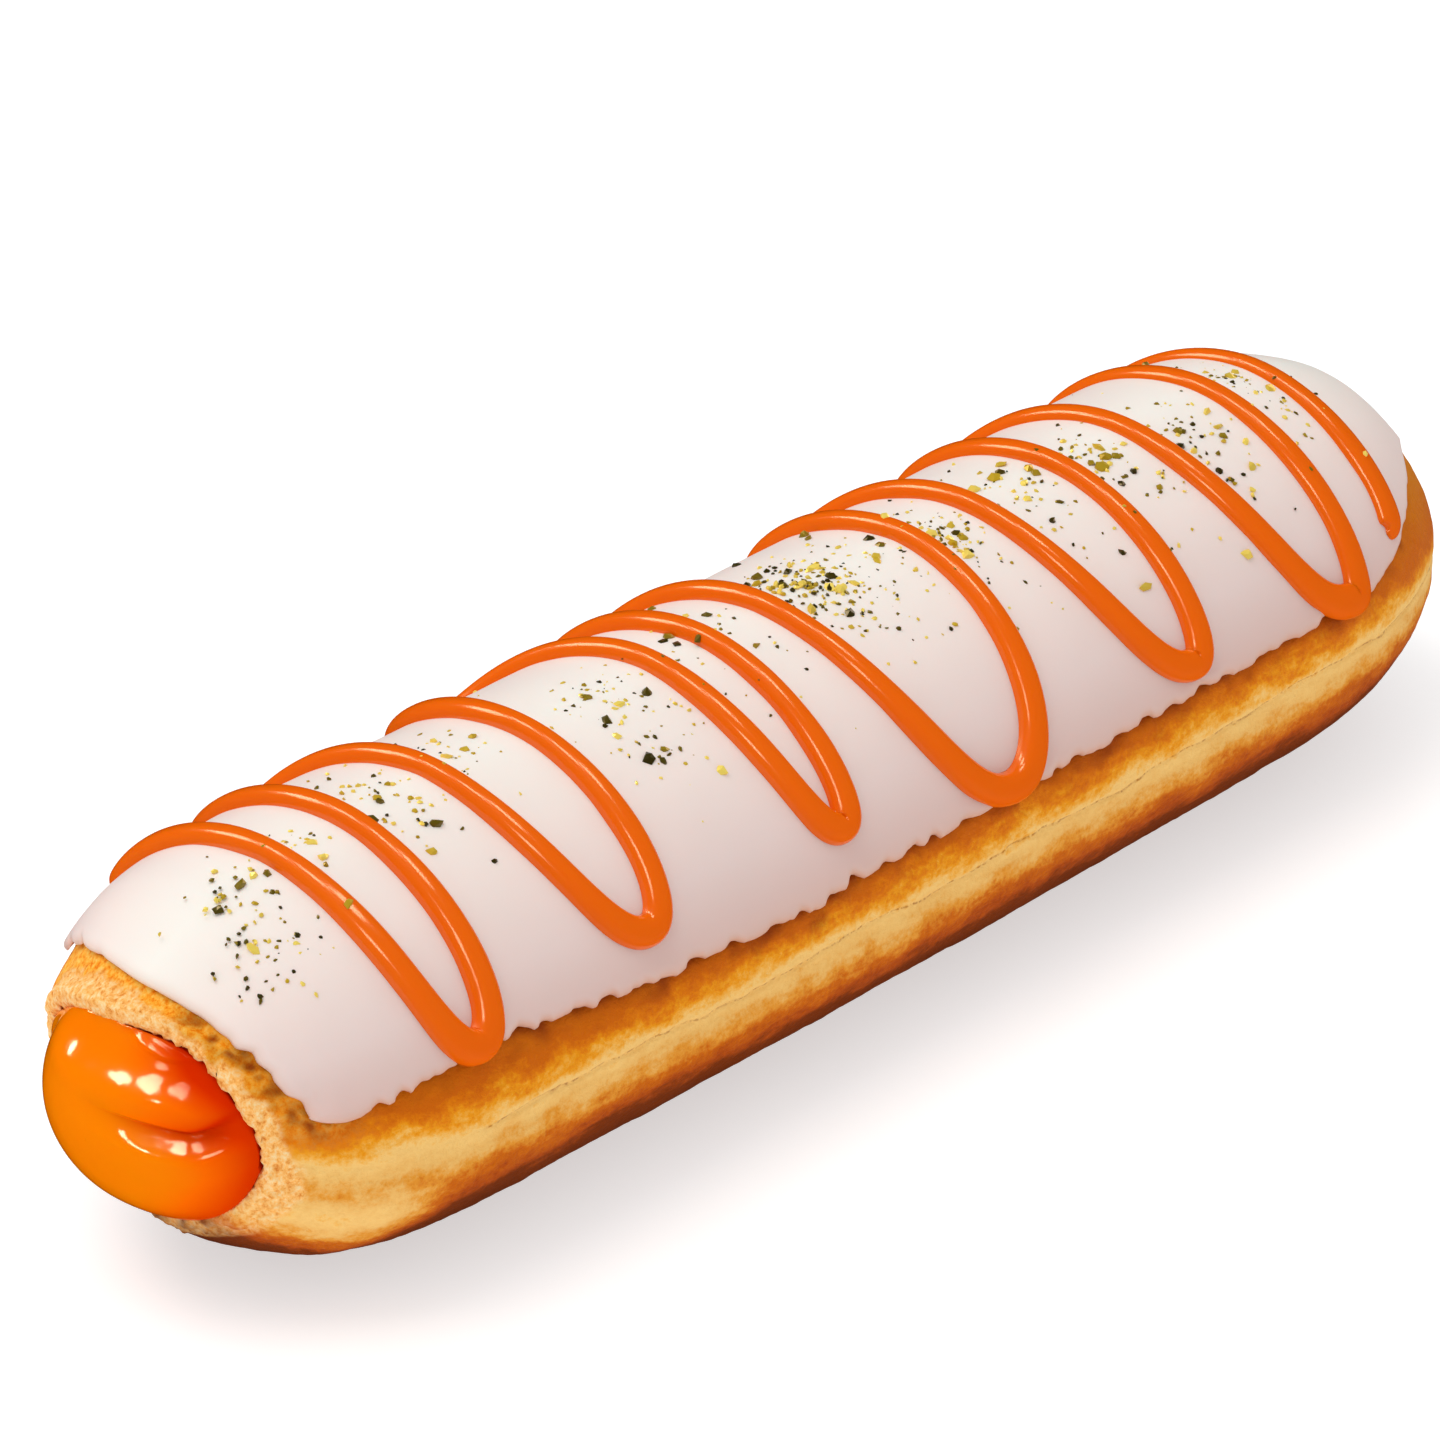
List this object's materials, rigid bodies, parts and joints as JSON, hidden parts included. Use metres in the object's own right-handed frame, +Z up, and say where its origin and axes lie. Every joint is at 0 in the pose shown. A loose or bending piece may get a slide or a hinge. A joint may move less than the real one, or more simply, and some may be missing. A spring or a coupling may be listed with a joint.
{
  "type": "filled eclair",
  "caption": "Long eclair open at one end, where piped orange cream swells out, with a cap of white glaze, a zigzag orange drizzle and flakes of gold leaf.",
  "frame": {"origin": "middle of the footprint, on the plane the underside rests on", "axes": "+X along the eclair from its filled end to its plain end, +Y across it, +Z up"},
  "size_m": [0.1542, 0.0422, 0.0344],
  "materials": {
    "crust": "golden brown fried crust, satin",
    "cream": "smooth glossy orange cream",
    "glaze": "smooth glossy white sugar glaze"
  },
  "bodies": {
    "root": {"dough": "crust", "filling": "cream", "icing": "glaze"}
  },
  "joints": []
}
